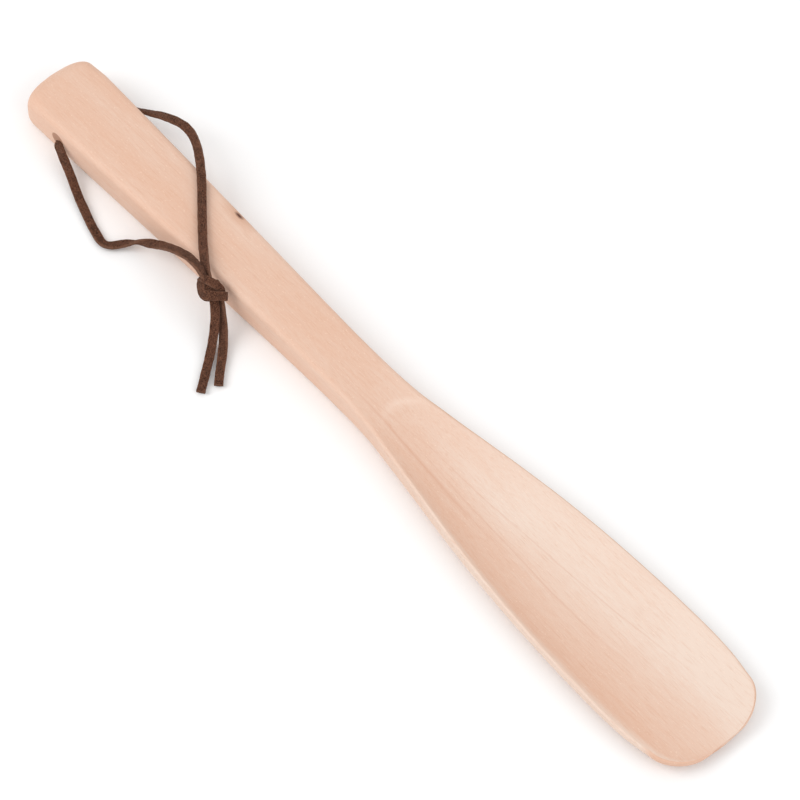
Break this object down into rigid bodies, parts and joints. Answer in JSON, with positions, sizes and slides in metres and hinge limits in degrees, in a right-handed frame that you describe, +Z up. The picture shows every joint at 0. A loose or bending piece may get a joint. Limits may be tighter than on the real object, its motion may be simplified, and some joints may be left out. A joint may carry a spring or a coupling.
{
  "type": "long shoehorn",
  "caption": "Long one-piece wooden shoehorn with a flat bar handle, a narrow neck, a wide scooped blade and a knotted suede hanging lace through the handle.",
  "frame": {"origin": "middle of the horn's length and width, on the flat surface that its back lies on", "axes": "+X from the handle's end to the tip, +Y across, +Z up out of the scoop"},
  "size_m": [0.38, 0.0714, 0.0227],
  "materials": {
    "wood": "fine-sanded pale hardwood, matt",
    "suede": "brown suede"
  },
  "bodies": {
    "horn": {"horn": "wood"},
    "lace": {"lace_in_hole": "suede", "lace_near_leg": "suede", "lace_far_leg": "suede", "lace_knot": "suede", "lace_tail_a": "suede", "lace_tail_b": "suede"}
  },
  "joints": [
    {"name": "lace_swing", "type": "hinge", "parent": "horn", "child": "lace", "pos_m": [-0.166, 0, 0.0095], "axis": [0, -1, 0], "range_deg": [0, 175]}
  ]
}
